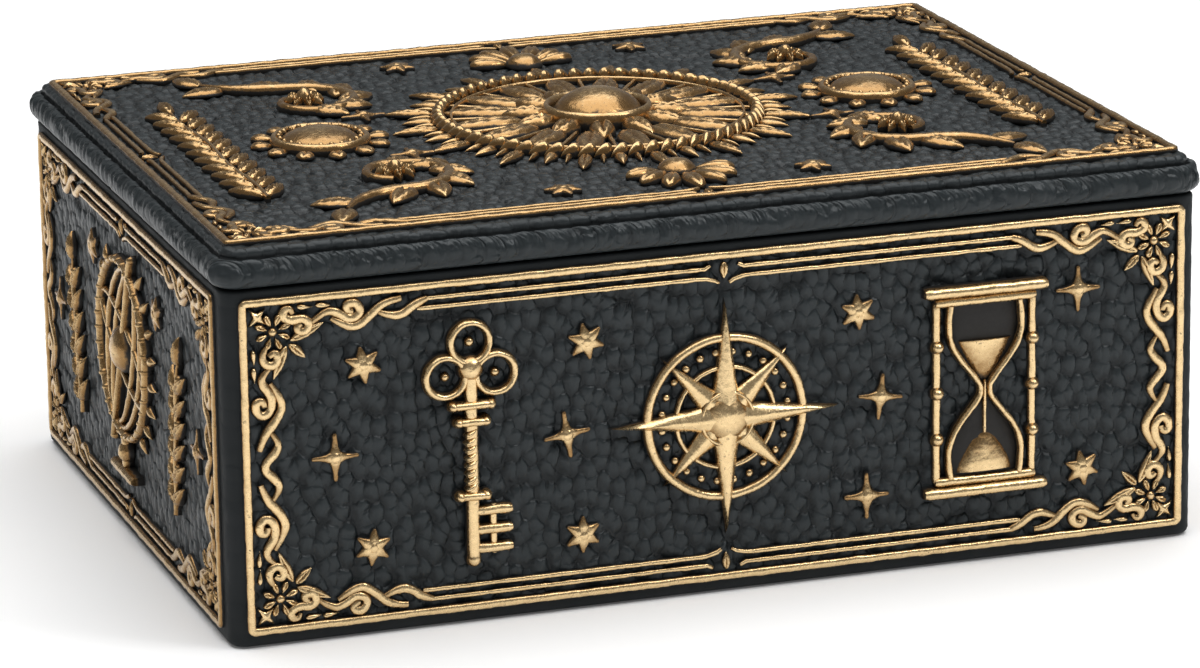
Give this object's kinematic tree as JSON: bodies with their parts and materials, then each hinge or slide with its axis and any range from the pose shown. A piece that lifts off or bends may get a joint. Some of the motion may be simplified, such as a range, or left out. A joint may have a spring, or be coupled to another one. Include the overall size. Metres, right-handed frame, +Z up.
{
  "type": "trinket box",
  "caption": "Rectangular keepsake box of cast resin, moulded like pebbled black leather, with gilt relief borders and motifs and a flat rolled-rim lid that lifts off.",
  "frame": {"origin": "on the surface that the box stands on, under the middle of the box", "axes": "+X to the right along the width, +Y to the back, +Z up; the front with the compass rose faces -Y"},
  "size_m": [0.1764, 0.1334, 0.0723],
  "materials": {
    "leather_black": "satin black paint over cast resin moulded with a pebbled leather grain",
    "antique_gold": "antique gold metallic paint over cast resin, dark brown wash left in the recesses",
    "felt_black": "matte black felt"
  },
  "bodies": {
    "base": {"base_shell": "leather_black", "underside_felt": "felt_black", "tray_lining": "felt_black", "front_border": "antique_gold", "back_border": "antique_gold", "left_border": "antique_gold", "right_border": "antique_gold", "front_compass": "antique_gold", "front_key": "antique_gold", "front_hourglass": "antique_gold", "front_stars": "antique_gold", "back_wreath": "antique_gold", "back_cabochons": "antique_gold", "back_stars": "antique_gold", "left_armillary": "antique_gold", "left_sprigs": "antique_gold", "left_stars": "antique_gold", "right_wreath": "antique_gold", "right_sprigs": "antique_gold", "right_stars": "antique_gold"},
    "lid": {"lid_shell": "leather_black", "lid_border": "antique_gold", "lid_rosette": "antique_gold", "lid_cabochons": "antique_gold", "lid_scrolls": "antique_gold", "lid_palmettes": "antique_gold", "lid_garlands": "antique_gold", "lid_stars": "antique_gold"}
  },
  "joints": [
    {"name": "lid_lift", "type": "slide", "parent": "base", "child": "lid", "axis": [0, 0, 1], "range_m": [0, 0.09]}
  ]
}
